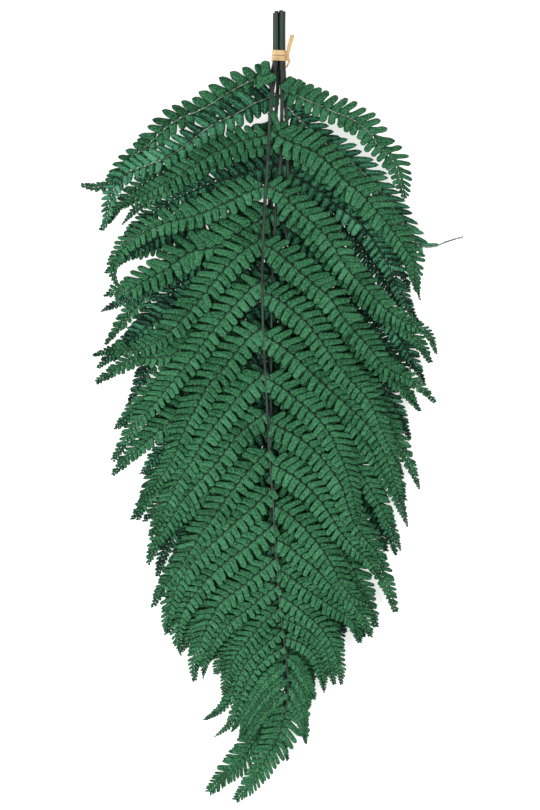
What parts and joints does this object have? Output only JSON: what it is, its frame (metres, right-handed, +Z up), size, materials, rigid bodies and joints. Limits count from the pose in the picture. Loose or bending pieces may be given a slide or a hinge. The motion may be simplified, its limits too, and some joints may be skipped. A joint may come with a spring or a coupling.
{
  "type": "tied bracken frond bunch",
  "caption": "Bunch of preserved green bracken fronds, laid in overlapping layers and held by a flat raffia tie near the cut stem ends, lying on a surface as foliage decoration.",
  "frame": {"origin": "on the surface that the bunch lies on, under the middle of its box", "axes": "+Z up from the surface, +Y along the bunch from the frond tips to the cut stem ends, +X across the bunch"},
  "size_m": [0.2943, 0.5993, 0.0324],
  "materials": {
    "leaf_upper": "matte",
    "leaf_lower": "matte",
    "rachis": "satin",
    "raffia": "matte"
  },
  "bodies": {
    "root": {"frond_1": "leaf_upper", "frond_2": "leaf_upper", "frond_3": "leaf_lower", "frond_4": "leaf_lower", "frond_5": "leaf_upper", "raffia_tie": "raffia"}
  },
  "joints": []
}
